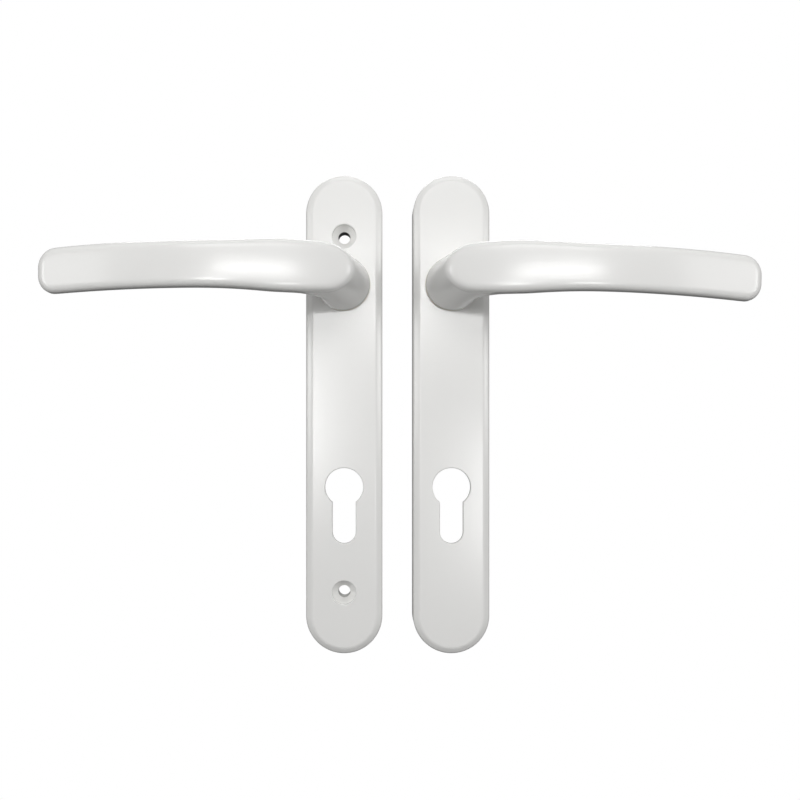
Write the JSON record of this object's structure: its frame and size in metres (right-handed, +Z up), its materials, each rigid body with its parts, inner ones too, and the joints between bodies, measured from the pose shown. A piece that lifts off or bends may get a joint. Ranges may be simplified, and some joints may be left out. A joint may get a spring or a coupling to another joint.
{
  "type": "lever door handle pair",
  "caption": "Pair of white lever door handles, inside and outside, on long rounded backplates with euro profile keyholes and sprung levers.",
  "frame": {"origin": "on the door face, midway between the two spindle axes", "axes": "+X to the right seen from in front, +Y into the door, +Z up"},
  "size_m": [0.3036, 0.0585, 0.218],
  "materials": {
    "white_powder_coat": "semi-gloss polyester powder coat with a faint orange peel",
    "plated_steel": "bright zinc plate, slightly cloudy",
    "spring_steel": "oiled spring steel, drawn",
    "natural_nylon": "uncoloured nylon, as moulded",
    "black_nylon": "glass-filled nylon, fine matt"
  },
  "bodies": {
    "backplates": {"inside_backplate": "white_powder_coat", "inside_lever_bush": "natural_nylon", "inside_spring_housing": "black_nylon", "inside_return_spring": "spring_steel", "inside_housing_screw": "plated_steel", "outside_backplate": "white_powder_coat", "outside_lever_bush": "natural_nylon", "outside_spring_housing": "black_nylon", "outside_return_spring": "spring_steel", "outside_housing_screw": "plated_steel", "outside_threaded_insert_upper": "plated_steel", "outside_threaded_insert_lower": "plated_steel"},
    "inside_lever_body": {"inside_lever": "white_powder_coat", "inside_spindle_hub": "plated_steel", "inside_driver_plate": "plated_steel", "inside_wave_washer": "spring_steel", "inside_circlip": "spring_steel"},
    "outside_lever_body": {"outside_lever": "white_powder_coat", "outside_spindle_hub": "plated_steel", "outside_driver_plate": "plated_steel", "outside_wave_washer": "spring_steel", "outside_circlip": "spring_steel"}
  },
  "joints": [
    {"name": "inside_lever_turn", "type": "hinge", "parent": "backplates", "child": "inside_lever_body", "pos_m": [-0.0244, 0, 0], "axis": [0, -1, 0], "range_deg": [-45, 45], "stiffness_Nm_per_rad": 1.3, "springref_deg": -3.27, "deforming": ["inside_return_spring"]},
    {"name": "outside_lever_turn", "type": "hinge", "parent": "backplates", "child": "outside_lever_body", "pos_m": [0.0244, 0, 0], "axis": [0, 1, 0], "range_deg": [-45, 45], "stiffness_Nm_per_rad": 1.3, "springref_deg": -3.27, "deforming": ["outside_return_spring"]}
  ]
}
